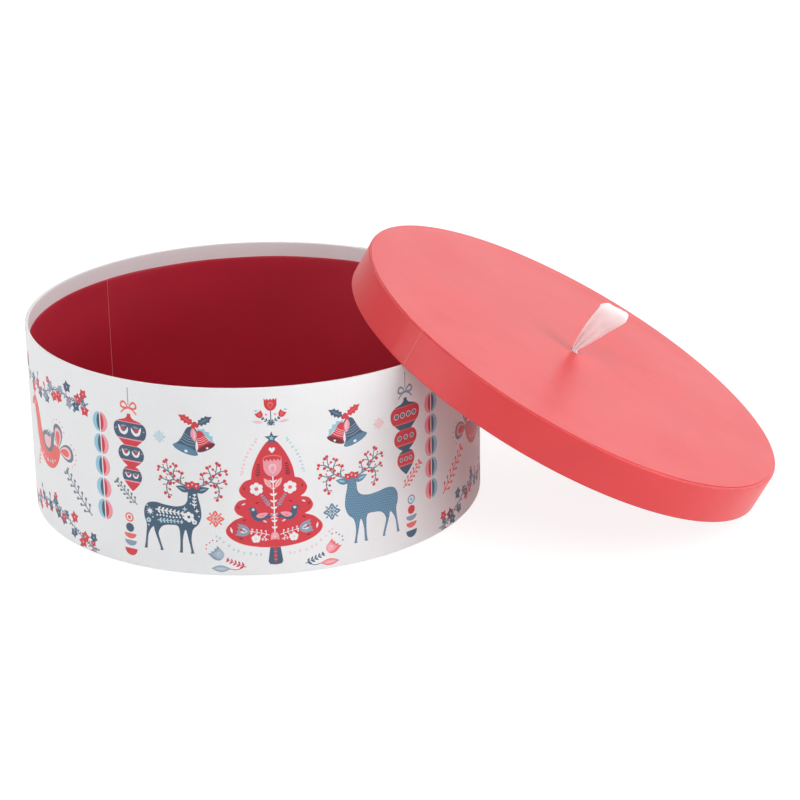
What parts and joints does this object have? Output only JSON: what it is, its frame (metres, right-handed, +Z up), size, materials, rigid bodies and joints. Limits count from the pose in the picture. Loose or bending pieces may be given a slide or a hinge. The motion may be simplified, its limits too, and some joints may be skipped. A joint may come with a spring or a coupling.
{
  "type": "round keepsake box with lift-off lid",
  "caption": "Round paper-covered board box with a printed wall and red lining, its shallow red lid leaning off the rim, with a ribbon pull.",
  "frame": {"origin": "centre of the box's base, on the surface that it stands on", "axes": "+Z up along the box's axis; the lid leans in the XZ plane, down towards +X"},
  "size_m": [0.4971, 0.306, 0.1698],
  "materials": {
    "white_card": "uncoated white card",
    "printed_paper": "matt laminated white paper with a folk print in red, blue and pink",
    "grey_board": "plain grey board",
    "gummed_tape": "brown gummed paper tape",
    "lining_paper": "matt deep red lining paper",
    "lid_paper": "matt coral red cover paper",
    "ribbon": "pale pink satin ribbon"
  },
  "bodies": {
    "box": {"base_cover": "white_card", "outer_wrap": "printed_paper", "wall_board": "grey_board", "wall_joint_tape": "gummed_tape", "base_board": "grey_board", "liner_wall": "lining_paper", "liner_floor": "lining_paper"},
    "lid": {"lid_top_paper": "lid_paper", "lid_rim_wrap": "lid_paper", "lid_rim_board": "grey_board", "lid_rim_joint_tape": "gummed_tape", "lid_top_board": "grey_board", "lid_liner": "lid_paper", "ribbon_tails": "ribbon", "ribbon_patch": "lid_paper"},
    "ribbon": {"ribbon_loop": "ribbon"}
  },
  "joints": [
    {"name": "lid_lift", "type": "slide", "parent": "box", "child": "lid", "axis": [0.4811, 0, 0.8766], "range_m": [0, 0.25]},
    {"name": "ribbon_swing", "type": "hinge", "parent": "lid", "child": "ribbon", "pos_m": [0.21353, 0, 0.0972], "axis": [0.8766, 0, -0.4811], "range_deg": [-75, 75], "stiffness_Nm_per_rad": 0.002}
  ]
}
